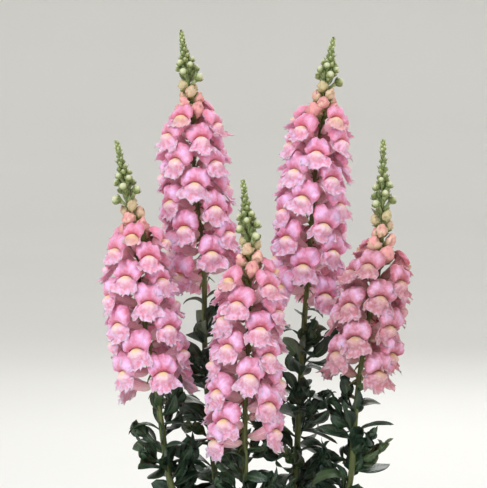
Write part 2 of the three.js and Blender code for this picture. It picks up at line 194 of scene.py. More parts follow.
class Growth(Nodes):
    """A Geometry Nodes tree with named inputs. It ends in Realize Instances and Set Material."""

    def __init__(self, name, *labels):
        super().__init__(bpy.data.node_groups.new(name, "GeometryNodeTree"))
        self.group.is_modifier = True
        for way in ("INPUT", "OUTPUT"):
            self.group.interface.new_socket("Geometry", in_out=way, socket_type="NodeSocketGeometry")
        for label in (*labels, "material"):
            kind = "NodeSocket" + INPUT_KINDS.get(label, "Float")
            self.group.interface.new_socket(label, in_out="INPUT", socket_type=kind)
        self.start = self.node("NodeGroupInput")
        self.own = self.start.outputs["Geometry"]

    def __getitem__(self, label):
        return Term(self, self.start.outputs[label])

    def index(self):
        return Term(self, self.node("GeometryNodeInputIndex").outputs[0])

    def wobble(self, k, seed):
        """A repeatable stray between -1 and 1 for the k-th piece."""
        slow = self.maths("SINE", k * 2.399 + seed * 1.7)
        fast = self.maths("SINE", k * 5.13 + seed * 0.9)
        return slow * 0.6 + fast * 0.4

    def marked(self, geometry, label, value, domain):
        feeds = {"Geometry": geometry, "Name": label, "Value": value}
        kept = self.node("GeometryNodeStoreNamedAttribute", feeds, data_type="FLOAT", domain=domain)
        return kept.outputs[0]

    def placed(self, points, kind, rotation, size, marks):
        """Ends the tree with instances of the kinds on points. Marks are numbers that each one keeps."""
        kinds = self.node("GeometryNodeCollectionInfo", {
            "Collection": self["kinds"], "Separate Children": True, "Reset Children": True})
        made = self.node("GeometryNodeInstanceOnPoints", {
            "Points": points, "Instance": kinds.outputs[0], "Pick Instance": True, "Instance Index": kind,
            "Rotation": rotation, "Scale": self.vector(size, size, size)}).outputs[0]
        for label, value in marks.items():
            made = self.marked(made, label, value, "INSTANCE")
        return self.end(made)

    def set_out(self, share, azimuth, rise, roll, size, kind, marks):
        """Ends the tree with instances at shares of the line's length, each with X away from the line at its
        azimuth and Z along the line, then tipped up by its rise and rolled about its own length."""
        line = self.node("GeometryNodeMeshToCurve", {"Mesh": self.own}).outputs[0]
        feeds = {"Curves": line, "Factor": share}
        there = self.node("GeometryNodeSampleCurve", feeds, mode="FACTOR").outputs
        points = self.node("GeometryNodePoints", {"Count": self["count"], "Position": there["Position"]})
        turn = self.maths("RADIANS", azimuth)
        outward = self.vector(self.maths("COSINE", turn), self.maths("SINE", turn), 0.0)
        basis = self.node("FunctionNodeAxesToRotation", {0: there["Tangent"], 1: outward},
                          primary_axis="Z", secondary_axis="X")
        tip = self.vector(self.maths("RADIANS", roll), self.maths("RADIANS", rise * -1), 0.0)
        tip = self.node("FunctionNodeEulerToRotation", {0: tip})
        tipped = self.node("FunctionNodeRotateRotation", {0: basis.outputs[0], 1: tip.outputs[0]},
                           rotation_space="LOCAL")
        return self.placed(points.outputs[0], kind, tipped.outputs[0], size, marks)

    def end(self, geometry):
        real = self.node("GeometryNodeRealizeInstances", {"Geometry": geometry}).outputs[0]
        done = self.node("GeometryNodeSetMaterial", {"Geometry": real, "Material": self["material"]})
        self.node("NodeGroupOutput", {"Geometry": done.outputs[0]})
        return self.group


def grown(name, host, group, **inputs):
    """The plain mesh that a tree makes on a host mesh, as a new object. The inputs' names are the tree's."""
    modifier = host.modifiers.new(name, "NODES")
    modifier.node_group = group
    for item in group.interface.items_tree:
        if item.in_out == "INPUT" and item.name in inputs:
            value = inputs[item.name]
            modifier[item.identifier] = float(value) if item.socket_type == "NodeSocketFloat" else value
    bpy.context.view_layer.update()
    made = host.evaluated_get(bpy.context.evaluated_depsgraph_get())
    mesh = bpy.data.meshes.new_from_object(made)
    host.modifiers.remove(modifier)
    mesh.name = name
    return linked(bpy.data.objects.new(name, mesh))


def linked(thing):
    bpy.context.scene.collection.objects.link(thing)
    return thing


# ---------------------------------------------------------------- the stems' middle lines


class Stem:
    """A stem's smooth middle line, carried on straight below the soil and drawn as a chain of edges that its
    pieces grow on, and the shares of its length where things begin."""

    STEPS = 48  # samples between two points

    def __init__(self, number, name, spec):
        self.number, self.name, self.spec = number, name, spec
        given = np.array(spec["line"], float) * MM
        down = given[0] - given[1]
        given = np.vstack([given[0] + down / np.linalg.norm(down) * HOLE_DEPTH * MM, given])
        corners = np.vstack([2 * given[0] - given[1], given, 2 * given[-1] - given[-2]])
        t = np.linspace(0, 1, self.STEPS, endpoint=False)[:, None]
        spans = [catmull_rom(*four, t) for four in zip(corners, corners[1:], corners[2:], corners[3:])]
        points = np.vstack([*spans, given[-1:]])
        steps = np.linalg.norm(np.diff(points, axis=0), axis=1)
        self.length = float(steps.sum())
        self.heights, self.shares = points[:, 2], np.concatenate([[0], np.cumsum(steps)]) / self.length
        self.bloom_from, self.bloom_to = (self.share_at(z) for z in spec["flowering"])
        pink_step = (1 - self.bloom_to) * PINK_BUD_STEP
        self.pink_from = self.bloom_to + pink_step
        self.pink_to = self.bloom_to + PINK_BUDS["count"] * pink_step
        mesh = bpy.data.meshes.new("line_" + name)
        mesh.from_pydata(points.tolist(), [(k, k + 1) for k in range(len(points) - 1)], [])
        self.host = linked(bpy.data.objects.new("line_" + name, mesh))

    def share_at(self, height):
        return float(np.interp(height * MM, self.heights, self.shares))


# ---------------------------------------------------------------- meshes from rings and strips


class Skin:
    """Collects the points, faces and marks of one or more closed or open surfaces, in millimetres. Marks are
    numbers that each point has, for the finish to read."""

    def __init__(self, labels=()):
        self.points, self.faces = [], []
        self.marks = {label: [] for label in labels}

    def _take(self, points, marks):
        first = len(self.points)
        self.points.extend(points.reshape(-1, 3).tolist())
        for label, values in self.marks.items():
            values.extend(np.broadcast_to(marks.get(label, 0.0), points.shape[:-1]).ravel().tolist())
        return first

    def tube(self, rings, close=(True, True), **marks):
        """A tube of rings, an array of ring by point by 3. A closed end gets a fan to its middle."""
        count, sides = rings.shape[:2]
        first = self._take(rings, marks)
        for r in range(count - 1):
            for k in range(sides):
                a, b = first + r * sides + k, first + r * sides + (k + 1) % sides
                self.faces.append((a, b, b + sides, a + sides))
        for end, wanted in zip((0, count - 1), close):
            if not wanted:
                continue
            spot = {label: np.broadcast_to(value, rings.shape[:2])[end].mean()
                    for label, value in marks.items()}
            middle = self._take(rings[end].mean(axis=0)[None], spot)
            for k in range(sides):
                a, b = first + end * sides + k, first + end * sides + (k + 1) % sides
                self.faces.append((middle, b, a) if end == 0 else (middle, a, b))
        return self

    def blade(self, upper, lower, **marks):
        """A thin blade between two grids of station by point across by 3, closed along its rim."""
        rows, across = upper.shape[:2]
        ring = np.concatenate([upper, lower[:, ::-1][:, 1:-1]], axis=1)
        full = {label: np.broadcast_to(value, (rows, across)) for label, value in marks.items()}
        full = {label: np.concatenate([v, v[:, ::-1][:, 1:-1]], axis=1) for label, v in full.items()}
        return self.tube(ring, **full)

    def add(self, other, matrix):
        """Takes in another skin, moved by a matrix."""
        first = len(self.points)
        self.points.extend([tuple(matrix @ Vector(p)) for p in other.points])
        self.faces.extend([tuple(first + k for k in face) for face in other.faces])
        for label, values in self.marks.items():
            values.extend(other.marks.get(label, [0.0] * len(other.points)))
        return self

    def object(self, name):
        mesh = bpy.data.meshes.new(name)
        mesh.from_pydata((np.asarray(self.points, float) * MM).tolist(), [], self.faces)
        for label, values in self.marks.items():
            kept = mesh.attributes.new(label, "FLOAT", "POINT")
            kept.data.foreach_set("value", np.ravel(values).astype(np.float32))
        mesh.polygons.foreach_set("use_smooth", [True] * len(mesh.polygons))
        mesh.update()
        return bpy.data.objects.new(name, mesh)


def tube_rings(line, radii, sides=8):
    """Rings round a line of points, kept upright enough not to twist."""
    line = np.asarray(line, float)
    ways = np.gradient(line, axis=0)
    ways /= np.linalg.norm(ways, axis=1, keepdims=True)
    side = np.cross(ways, [0.0, 0.31, 0.95])
    side /= np.linalg.norm(side, axis=1, keepdims=True)
    up = np.cross(side, ways)
    turn = np.linspace(0, 2 * np.pi, sides, endpoint=False)
    radii = np.broadcast_to(radii, len(line))
    return line[:, None] + radii[:, None, None] * (
        np.cos(turn)[None, :, None] * side[:, None] + np.sin(turn)[None, :, None] * up[:, None])


def closed_outline(points, count):
    """Points along a smooth closed line through the given ones."""
    points = np.asarray(points, float)
    n = len(points)
    at = np.arange(count) * n / count
    k, t = at.astype(int), (at % 1)[:, None]
    a, b, c, d = (points[(k + step) % n] for step in (-1, 0, 1, 2))
    return catmull_rom(a, b, c, d, t)


def kinds_of(name, skins):
    """A collection of the shapes that a tree picks from, in order."""
    shelf = bpy.data.collections.new(name)
    for k, skin in enumerate(skins):
        shelf.objects.link(skin.object(f"{name}_{k:02d}"))
    return shelf


# ---------------------------------------------------------------- the flower

OPEN_KINDS = 10
YOUNG_SHAPES = (0.95, 0.85, 0.68, 0.48)  # how far open the topmost flowers are, lowest first
CORNER = 5 / 11  # where the hood meets the lower lip, on the way down the edge
HOOD_MIDDLE = 12  # height of the point that the hood swells away from

# The lips' edge from the notch of the hood round one side to the tip of the middle lobe.
LIP_EDGE = [
    (18.8, 0, 26.6), (17.8, 4.8, 27), (18, 9, 24.4), (20.2, 11.4, 19.2), (23.6, 11.6, 13.8), (27, 10.4, 9.4),
    (29.8, 11.8, 6), (33, 15.8, 1.4), (36, 14.8, -4.2), (34.4, 8.6, -2.4), (36.6, 5.4, -6.2), (37.4, 0, -7),
]
# The same edge on a bud that is about to open.
LIP_EDGE_SHUT = [
    (24, 0, 22.6), (23.6, 3, 22.8), (24, 6.2, 20.4), (25, 7.4, 17), (25.4, 7.7, 13.5), (26, 7.5, 10.4),
    (27, 7.1, 8.2), (27.5, 6.2, 6.5), (28, 4.9, 5.3), (28.3, 3.5, 4.6), (28.7, 1.8, 4.1), (29, 0, 3.9),
]
# Which of the edge's points, counted all round, make a lobe.
HOOD_LOBES = (range(1, 6), range(17, 22))
SIDE_LOBES = (range(6, 9), range(14, 17))
MIDDLE_LOBE = slice(10, 13)
FRILL_WAVES = ((5, 0.4), (9, 0.55), (14, 0.6), (21, 0.75), (29, 0.6))  # how many round the edge, how high

TUBE_LINE = [(3.6, 0, 0.4), (9, 0, 1.5), (15, 0, 5.6), (21, 0, 10.4)]
TUBE_AXIS = np.array([0.86, 0, 0.51])  # the way that the tube runs where it ends
TUBE_STRETCH = 2.4  # how much longer than its line the tube is, all of it in front of the foot

# How far along each ring of points stands, from 0 to 1: on the tube, outside the lips and on their face.
TUBE_STEPS = np.array([0, 0.14, 0.34, 0.64, 1.0])
OUT_STEPS = np.array([0.22, 0.45, 0.68, 0.86, 0.95])
FACE_STEPS = np.array([0.04, 0.1, 0.2, 0.32, 0.44, 0.56, 0.67, 0.77, 0.86, 0.94, 1.0])
FOOT_FADE = (1, 0.85, 0.5, 0.15, 0)  # how cream the tube's rings are

# Where the points of a ring stand. Part runs from the top, 0, round to the bottom, 0.5, and back to the top.
FLOWER_SIDES = 72
PART = np.arange(FLOWER_SIDES) / FLOWER_SIDES
DOWN = 1 - np.abs(1 - 2 * PART)  # 0 at the top and 1 at the bottom, on either side
TURN = 2 * np.pi * PART
HOOD = 1 - smooth(CORNER - 0.12, CORNER + 0.03, DOWN)
SKIRT = smooth(CORNER - 0.03, CORNER + 0.14, DOWN)  # the lower lip


def both_sides(half):
    half = np.asarray(half, float)
    return np.vstack([half, half[-2:0:-1] * [1, -1, 1]])


def bezier(a, b, c, d, t):
    a, b, c, d = (np.asarray(point, float) for point in (a, b, c, d))
    return a * (1 - t) ** 3 + 3 * b * t * (1 - t) ** 2 + 3 * c * t * t * (1 - t) + d * t ** 3


def forward(x, z, share):
    """A push out of the flower and up, as far as each point's share goes."""
    return share[:, None] * np.array([x, 0.0, z])


def draws(chance, *ranges):
    """One random number from each range."""
    return np.array([chance(low, high) for low, high in ranges])


def tube_part():
    """The tube, grooved and with a pouch at its narrow foot."""
    middle = bezier(*TUBE_LINE, TUBE_STEPS[:, None])
    wide = np.interp(TUBE_STEPS, [0, 0.12, 0.28, 0.5, 0.75, 1], [1.3, 2.7, 3.7, 4.5, 5.2, 6.4])
    wide = wide[:, None] * (1 - 0.05 * np.cos(5 * TURN))
    pouch = np.interp(TUBE_STEPS, [0, 0.2, 0.5, 1], [0, 1.5, 0.7, 0.2])[:, None] * DOWN[None] ** 2
    up = np.cross(TUBE_AXIS, [0, 1, 0])
    outward = np.sin(TURN)[None, :, None] * np.array([0, 1, 0]) + np.cos(TURN)[None, :, None] * up
    return middle[:, None] + wide[..., None] * outward - pouch[..., None] * up


def lip_edge(chance, openness):
    """The edge of the lips, with each of its lobes a little off its place."""
    edge = both_sides(LIP_EDGE)

    def shift(lobe, sway, *ranges):
        outward = [1, np.sign(edge[lobe[1], 1]), 1]
        edge[list(lobe)] += np.outer(sway, draws(chance, *ranges) * outward)

    for lobe in HOOD_LOBES:
        shift(lobe, np.sin(np.linspace(0.6, 2.5, 5)), (-2, 2), (-1.5, 2.6), (-3.5, 4.5))
    for lobe in SIDE_LOBES:
        shift(lobe, np.ones(3), (-3, 1.5), (-2.4, 1.6), (-1.5, 3))
    edge[MIDDLE_LOBE] += draws(chance, (-3.5, 0.5), (-1.8, 1.8), (-1, 2.4))
    return closed_outline(mix(both_sides(LIP_EDGE_SHUT), edge, openness), FLOWER_SIDES)


def frills(chance, edge, openness):
    """How far the edge waves, except at the corners of the mouth."""
    waves = sum(size * np.sin(count * TURN + chance(0, 6.3)) for count, size in FRILL_WAVES)
    corner = 1 - np.clip(np.abs(DOWN - CORNER) / 0.1, 0, 1)
    ruffle = waves * (1 - corner) * mix(1.2, 1.9, SKIRT) * openness
    sideways = 0.5 * np.roll(ruffle, 1) * np.sign(edge[:, 1])
    return np.stack([ruffle, sideways, 0.6 * np.roll(ruffle, 2)], axis=1)


def lips_outside(throat, edge, frill):
    """The back of the lips, from the throat to the edge."""
    behind = edge + forward(4.6, -3.9, HOOD) + forward(-6.2, 3.0, SKIRT)
    return [bezier(throat, throat + 4 * TUBE_AXIS, behind, edge, t) + frill * math.exp((t - 1) / 0.1)
            for t in OUT_STEPS]


def lips_face(chance, seed, edge, frill, openness):
    """The face of the lips, from the edge over the hood's brow and the palate into the arch of the mouth,
    and the ring deep inside it that closes the flower."""
    reach = np.where(DOWN <= CORNER, DOWN / CORNER, (1 - DOWN) / (1 - CORNER))
    side = np.sin(np.pi / 2 * reach) * np.sign(np.sin(TURN) + 1e-9)  # -1 and 1 at the corners
    middle = 1 - np.abs(side) ** 2
    gape = mix(5.2, 7.2, openness)
    mouth = np.stack([29.4 - 2.8 * side ** 2, gape * side, 14.2 - 3.8 * np.abs(side) ** 2.3], axis=1)
    mouth += forward(-0.4, 0.3, HOOD) + forward(0.2, -0.3, SKIRT)
    mouth = mix(mouth + [-1.3, 0, -3], mouth, openness)

    # the ways in which the face leaves the edge and comes to the mouth
    roll = edge * [0, 1, 1] - [0, 0, HOOD_MIDDLE]
    roll = HOOD[:, None] * roll / np.linalg.norm(roll, axis=1, keepdims=True) * [1, 0.8, 1]
    off_edge = edge + openness * (forward(3.4, 0, HOOD) + 8.2 * roll + forward(-7.4, 4.8, SKIRT))
    off_edge[:, 1] *= 1 - 0.34 * SKIRT
    off_mouth = mouth + mix(0.5, 1, openness) * (
        forward(11.5, 1, HOOD) + 5.6 * roll + forward(2.6, -0.9, SKIRT) + forward(10.5, -3, SKIRT * middle))
    off_mouth[:, 1] *= 1 + 0.45 * SKIRT

    cleft = 1.1 * np.exp(-((DOWN / 0.07) ** 2))  # the fold between the two lobes of the hood
    folds = [(count, chance(0, 6.3), chance(-3, 3)) for count in (5, 8, 13, 19)]
    face = []
    for t in FACE_STEPS:
        swell = 4 * t * (1 - t)
        waist = SKIRT * math.exp(-((t - 0.34) / 0.12) ** 2) * openness
        crumple = sum(0.42 * np.sin(count * TURN + start + drift * t) for count, start, drift in folds)
        crumple *= openness * swell
        fade = np.exp(-t / mix(0.09, 0.17, HOOD))[:, None]
        ring = bezier(edge, off_edge, off_mouth, mouth, t) + frill * fade
        ring += (crumple * HOOD)[:, None] * (roll + [0.4, 0, 0])
        ring += forward(0.8, 0.2, crumple * SKIRT * (1 - t))
        palate = 1.8 * SKIRT * middle * math.exp(-((t - 0.68) / 0.17) ** 2)
        ring[:, 0] += palate - 1.5 * waist - cleft * swell
        ring[:, 1] *= 1 - 0.08 * waist
        groove = np.exp(-((ring[:, 1] / 1.7) ** 2)) * (t > 0.4)  # along the middle of the palate
        ring[:, 0] -= SKIRT * swell * 0.9 * groove
        dents = np.array([noise.noise(Vector(p) / 5.5 + Vector((seed * 9.1, 0, 0))) for p in ring])
        ring += (dents * swell * (0.8 + 1.3 * HOOD))[:, None] * [1.3, 0, 1.0]
        face.append(ring)
    return [*face, mouth * [0, 0.5, 0.25] + [23, 0, 10]]


def petal_marks(rings):
    """Where on the flower each point is, and where painted highlight and painted shade go, for the petals'
    finish.
    """
    outside = len(TUBE_STEPS) + len(OUT_STEPS)
    inward = np.concatenate([np.zeros(outside + 1), FACE_STEPS, [1]])[:, None]  # from edge to mouth
    rim = np.concatenate([np.zeros(len(TUBE_STEPS)), OUT_STEPS ** 1.5, [1], 1 - FACE_STEPS, [0]])[:, None]
    foot = np.concatenate([FOOT_FADE, np.zeros(len(rings) - len(TUBE_STEPS))])[:, None]
    facing = (np.arange(len(rings)) > outside)[:, None]
    spread = np.abs(rings[..., 1])
    # Painted highlight: a lighter band across the middle of the hood's lobes, where light falls on their
    # swell.
    brow = np.exp(-(((inward - 0.58) / 0.19) ** 2)) * np.exp(-(((DOWN - 0.19) / 0.16) ** 2))
    return {
        "rim": rim,
        "hood": HOOD,
        "facing": facing,
        # Partly the petal's own deeper pink and partly painted shade under the hood, by the mouth.
        "mouth": facing * smooth(0.8, 1.0, inward),
        "crown": facing * brow,
        "palate": SKIRT * smooth(0.36, 0.8, inward) * (1 - smooth(4.5, 9.5, spread)) * facing,
        "yellow": SKIRT * smooth(0.7, 0.96, inward) * (1 - smooth(2, 7, spread)) * facing,
        "foot": foot,
        "around": PART * 2,
    }


def corolla(seed, openness=1.0):
    """One snapdragon flower without its calyx: a tube, a hood of two lobes that roll back, and a frilled
    lower lip of three lobes under its swollen palate. X points away from the stem."""
    chance = random.Random(seed).uniform
    tube = tube_part()
    edge = lip_edge(chance, openness)
    frill = frills(chance, edge, openness)
    face = lips_face(chance, seed, edge, frill, openness)
    rings = np.array([*tube, *lips_outside(tube[-1], edge, frill), edge + frill, *face])
    rings[..., 0] += TUBE_STRETCH * np.clip((rings[..., 0] - 4) / 13, 0, 1)
    marks = petal_marks(rings)
    return Skin(marks).tube(rings, **marks)


def sepal(length, width, bend):
    """A small pointed blade along X, bent up towards Z."""
    steps = np.linspace(0, 1, 6)
    across = np.linspace(-1, 1, 5)
    half = width / 2 * np.sin(np.pi * np.clip(steps, 0.02, 0.985) ** 0.7) ** 0.8
    rise = bend * steps ** 2
    x = length * steps
    upper = np.stack([x[:, None] + 0 * across, half[:, None] * across,
                      rise[:, None] + 0.35 * half[:, None] * across ** 2], axis=2)
    lower = upper - [0, 0, 0.45]
    return Skin(("rib",)).blade(upper[:, ::-1], lower[:, ::-1], rib=1 - np.abs(across))


def rotation(degrees, axis):
    return Matrix.Rotation(math.radians(degrees), 4, axis)


def turned(azimuth, rise, at):
    """A matrix that tips a piece along X up by rise, turns it to an azimuth round Z and moves it."""
    return Matrix.Translation(at) @ rotation(azimuth, "Z") @ rotation(-rise, "Y")


def calyx(seed):
    """A flower's short stalk, the five sepals at the foot of its tube and the little bract below it."""
    chance = random.Random(seed).uniform
    skin = Skin()
    t = np.linspace(0, 1, 5)[:, None]
    stalk = bezier((1.6, 0, -2.2), (2.8, 0, -1.8), (3.4, 0, -0.8), (4.2, 0, 0.5), t)
    skin.tube(tube_rings(stalk, np.linspace(0.9, 1.3, 5), 6))
    axis = Matrix.Translation((4.0, 0, 0.3)) @ rotation(-20, "Y")
    for k in range(5):
        spin = rotation(72 * k + 36 + chance(-8, 8), "X")
        blade = sepal(chance(7.6, 9.6), chance(3.4, 4.4), 1.4)
        skin.add(blade, axis @ spin @ Matrix.Translation((0, 0, -1.1)) @ rotation(24, "Y"))
    bract = sepal(chance(8, 12), 3.4, -1.6)
    skin.add(bract, turned(chance(-12, 12), chance(-32, 4), (1.8, 0, -3.6)))
    return skin


# ---------------------------------------------------------------- leaves and side shoots

LEAF_KINDS = 10
SHOOT_KINDS = 6
SHOOT_LEAVES = 10


def leaf(chance, arch, stations=13, across=7):
    """A broad lance-shaped leaf 1000 mm long, to be scaled, with a short stalk, a sunken rib and waved
    edges. It arches down by so many degrees, curls at its tip and twists and sways a little."""
    t = np.linspace(0, 1, stations)
    s = np.linspace(-1, 1, across)
    tilt = math.radians(arch) * t ** chance(0.8, 1.5) + math.radians(chance(-50, 60)) * t ** 4
    middle = (tilt[1:] + tilt[:-1]) / 2
    reach = np.concatenate([[0], np.cumsum(np.cos(middle) / (stations - 1))])
    drop = np.concatenate([[0], -np.cumsum(np.sin(middle) / (stations - 1))])
    width = chance(0.32, 0.52)
    blade = np.clip((t - 0.1) / 0.9, 0, 1) ** chance(0.8, 1.0)
    half = np.maximum(width / 2 * np.sin(np.pi * blade) ** 0.8, 0.024 * (1 - t) + 0.001)
    fold = chance(0.1, 0.5)
    twist = math.radians(chance(-70, 70)) * t ** 1.4
    sway = chance(-0.12, 0.12) * np.sin(np.pi * t)
    wave = 0.026 * np.sin(2 * np.pi * chance(1.4, 2.6) * t + chance(0, 6)) * (half > 0.03)
    y = half[:, None] * s
    sunk = 0.012 * np.exp(-(s * 6) ** 2) * (1 - t)[:, None]
    lift = fold * np.abs(y) + wave[:, None] * s ** 2 * np.sin(3 * s) - sunk
    side = y * np.cos(twist)[:, None] - lift * np.sin(twist)[:, None]
    rise = y * np.sin(twist)[:, None] + lift * np.cos(twist)[:, None]
    upper = np.stack([reach[:, None] + rise * np.sin(tilt)[:, None], side + sway[:, None],
                      drop[:, None] + rise * np.cos(tilt)[:, None]], axis=2)
    thick = (0.009 * (1 - 0.4 * t)[:, None] * (0.6 + 1.1 * np.exp(-(s * 4) ** 2)))[..., None]
    down = np.stack([-np.sin(tilt), 0 * tilt, -np.cos(tilt)], axis=1)[:, None]
    lower = upper + down * thick
    rib = np.exp(-(s * 5) ** 2)[None] * (1 - 0.6 * t)[:, None]
    marks = {"rib": rib, "across": s[None], "up": t[:, None]}
    return Skin(marks).blade(upper[:, ::-1] * 1000, lower[:, ::-1] * 1000,
                             **{label: value[:, ::-1] for label, value in marks.items()})


def leaf_kinds():
    chances = [random.Random(40 + seed).uniform for seed in range(LEAF_KINDS)]
    return kinds_of("leaf", [leaf(chance, arch=chance(45, 115)) for chance in chances])


def shoot_kinds():
    """Leafy side shoots about 1000 mm long, to be scaled."""
    made = []
    for seed in range(SHOOT_KINDS):
        chance = random.Random(70 + seed).uniform
        skin = Skin(("rib", "across", "up"))
        lean = chance(-120, 160)
        end = (640, lean, 60 + chance(-40, 120))
        stalk = bezier((0, 0, 0), (200, 0, 10), (400, lean / 2, 60), end, np.linspace(0, 1, 7)[:, None])
        skin.tube(tube_rings(stalk, np.linspace(26, 14, 7), 5))
        for k in range(SHOOT_LEAVES):
            share = (k + 1) / SHOOT_LEAVES
            blade = leaf(chance, arch=chance(30, 110), stations=8, across=5)
            skin.add(blade, Matrix.Translation(stalk[round(share * 6)])
                     @ rotation(DIVERGENCE * k + 90 + chance(-15, 15), "X")
                     @ rotation(-mix(66, 16, share) + chance(-12, 12), "Y")
                     @ Matrix.Scale(mix(0.64, 0.38, share), 4))
        made.append(skin)
    return kinds_of("shoot", made)


# ---------------------------------------------------------------- buds

BUD_KINDS = 4
SHUT_KINDS = 2
TIP_KNOBS = 13
GREEN_MARKS = ("petal", "rib")


def egg(length, radius, blunt, sides=10, rows=7, groove=0.0):
    """Rings of a bud along X. blunt moves its widest place towards the tip, and groove splits its front."""
    t = (1 - np.cos(np.linspace(0.02, 0.98, rows) * np.pi)) / 2
    bulge = np.sin(np.pi * t ** blunt) ** 0.75
    turn = np.linspace(0, 2 * np.pi, sides, endpoint=False)
    shape = 1 - groove * np.exp(-((np.mod(turn - np.pi / 2 + np.pi, 2 * np.pi) - np.pi) / 0.45) ** 2)
    radii = radius * bulge[:, None] * shape
    return np.stack([length * t[:, None] + 0 * radii, -radii * np.cos(turn), radii * np.sin(turn)], axis=2)


def cup(skin, foot, length, radius, sepals=5, cover=0.62, gape=0.1):
    """Sepals that hold the lower part of an egg-shaped bud, whose foot stands at a distance along X."""
    t = np.linspace(0.03, cover, 5)
    across = np.linspace(-1, 1, 5)
    for k in range(sepals):
        wide = np.sin(np.pi * np.linspace(0.35, 0.97, 5)) * np.pi / sepals * 1.15
        turn = 2 * np.pi * k / sepals + across[None] * wide[:, None]
        out = radius * np.sin(np.pi * t ** 0.95)[:, None] ** 0.75 * (1.05 + gape * (t / cover)[:, None] ** 3)
        x = foot + length * t[:, None] + 0 * turn
        upper = np.stack([x, out * np.cos(turn), out * np.sin(turn)], axis=2)
        lower = np.stack([x, out * 0.9 * np.cos(turn), out * 0.9 * np.sin(turn)], axis=2)
        skin.blade(upper, lower, rib=1 - np.abs(across))


def green_bud_kinds():
    """Buds 1000 mm long with their stalk, sepals and bracts, to be scaled: pale balls first, then slim ones
    that their sepals still hold shut, and the tuft at the very tip."""
    made = []
    for seed in range(BUD_KINDS):
        chance = random.Random(90 + seed).uniform
        skin = Skin(GREEN_MARKS)
        radius = chance(215, 260)
        ball = egg(500, radius, 0.95)
        skin.tube(ball + [500, 0, 0], petal=ball[..., 0] / 500)
        skin.tube(tube_rings([(0, 0, 0), (280, 0, -20), (540, 0, 0)], [86, 76, 120], 6))
        cup(skin, 480, 510, radius, cover=0.72, gape=0.36)
        bract = sepal(chance(800, 1150), 320, 330)
        skin.add(bract, turned(chance(-15, 15), chance(-8, 16), (20, 0, -150)))
        for side in (-1, 1):
            bract = sepal(chance(480, 700), 260, 160)
            skin.add(bract, turned(side * chance(24, 60), chance(8, 44), (40, side * 50, 0)))
        made.append(skin)
    for seed in range(SHUT_KINDS):
        chance = random.Random(150 + seed).uniform
        skin = Skin(GREEN_MARKS)
        knob = egg(520, 190, 1.0)
        skin.tube(knob + [250, 0, 0], petal=knob[..., 0] / 520 * 0.75)
        cup(skin, 240, 540, 205, sepals=4, cover=0.8, gape=0.25)
        skin.tube(tube_rings([(0, 0, 0), (150, 0, -10), (300, 0, 0)], [80, 75, 110], 5))
        bract = sepal(chance(650, 850), 200, 160)
        skin.add(bract, turned(chance(-20, 20), chance(-20, -4), (20, 0, -150)))
        made.append(skin)
    tip = Skin(GREEN_MARKS)
    tip.tube(egg(900, 130, 0.9), petal=0.2)
    for k in range(TIP_KNOBS):
        share = k / (TIP_KNOBS - 1)
        knob = Skin(GREEN_MARKS)
        rings = egg(mix(380, 280, share), mix(120, 105, share), 1.1, sides=7, rows=5)
        knob.tube(rings, petal=rings[..., 0] / 380)
        spin = rotation(DIVERGENCE * k, "X")
        tip.add(knob, spin @ turned(0, mix(38, 20, share), (mix(0, 740, share), 0, mix(70, 40, share))))
    return kinds_of("green_bud", [*made, tip])


def pink_bud_kinds():
    """Closed coloured buds, 1000 mm long, with the sepals at their foot, to be scaled."""
    made = []
    for seed in range(BUD_KINDS):
        chance = random.Random(110 + seed).uniform
        skin = Skin(("tip", "sepal"))
        radius = chance(245, 285)
        body = egg(800, radius, chance(1.05, 1.3), sides=20, rows=13, groove=0.3)
        tip = body[..., 0] / 800
        body[..., 2] += 50 * tip ** 2
        for point in body.reshape(-1, 3):
            point += Vector((0, 1, 1)) * 150 * noise.noise(Vector(point) / 135 + Vector((seed * 7.3, 0, 0)))
        skin.tube(body + [200, 0, 0], tip=tip)
        green = Skin()
        cup(green, 190, 800, radius, cover=0.42, gape=0.25)
        green.tube(tube_rings([(0, 0, -20), (120, 0, -20), (240, 0, 0)], [70, 80, 130], 6))
        bract = sepal(chance(420, 600), 190, 160)
        green.add(bract, turned(chance(-15, 15), -14, (30, 0, -110)))
        green.marks = {"sepal": [1.0] * len(green.points)}
        skin.add(green, Matrix.Identity(4))
        made.append(skin)
    return kinds_of("pink_bud", made)


# ---------------------------------------------------------------- the trees that set them out


def raceme_tree():
    """Open flowers, or their calyxes, from the lowest to the topmost."""
    tree = Growth("raceme", "count", "from", "to", "turn", "number", "row pull", "blush", "kinds",
                  "open kinds", "young kinds")
    k, count, number = tree.index(), tree["count"], tree["number"]
    t = k / (count - 1)
    up = t * (1 + FLOWER["crowding"]) - t * t * FLOWER["crowding"]
    share = mix(tree["from"], tree["to"], up)
    rule = tree["turn"] + k * DIVERGENCE
    drawn = tree.maths("SINE", tree.maths("RADIANS", rule * 4)) * tree["row pull"]
    azimuth = rule + drawn + tree.wobble(k, number) * FLOWER["turn stray"]
    rise = mix(*FLOWER["rises"], up ** 2) + tree.wobble(k + 40, number) * FLOWER["rise stray"]
    roll = tree.wobble(k + 9, number + 2) * FLOWER["roll stray"]
    size = mix(*FLOWER["sizes"], up ** 1.5)
    from_top = count - 1 - k
    young = from_top < tree["young kinds"]
    young_kind = tree["open kinds"] + tree["young kinds"] - 1 - from_top
    kind = young * young_kind + (1 - young) * ((k * 3 + number * 2) % tree["open kinds"])
    marks = {"age": up, "chance": tree.wobble(k + 20, number + 5), "blush": tree["blush"]}
    return tree.set_out(share, azimuth, rise, roll, size, kind, marks)


def leaf_azimuth(tree, k):
    stray = tree.wobble(k, tree["number"] + 3) * LEAF["turn stray"]
    return tree["turn"] + LEAF["turn"] + k * DIVERGENCE + stray


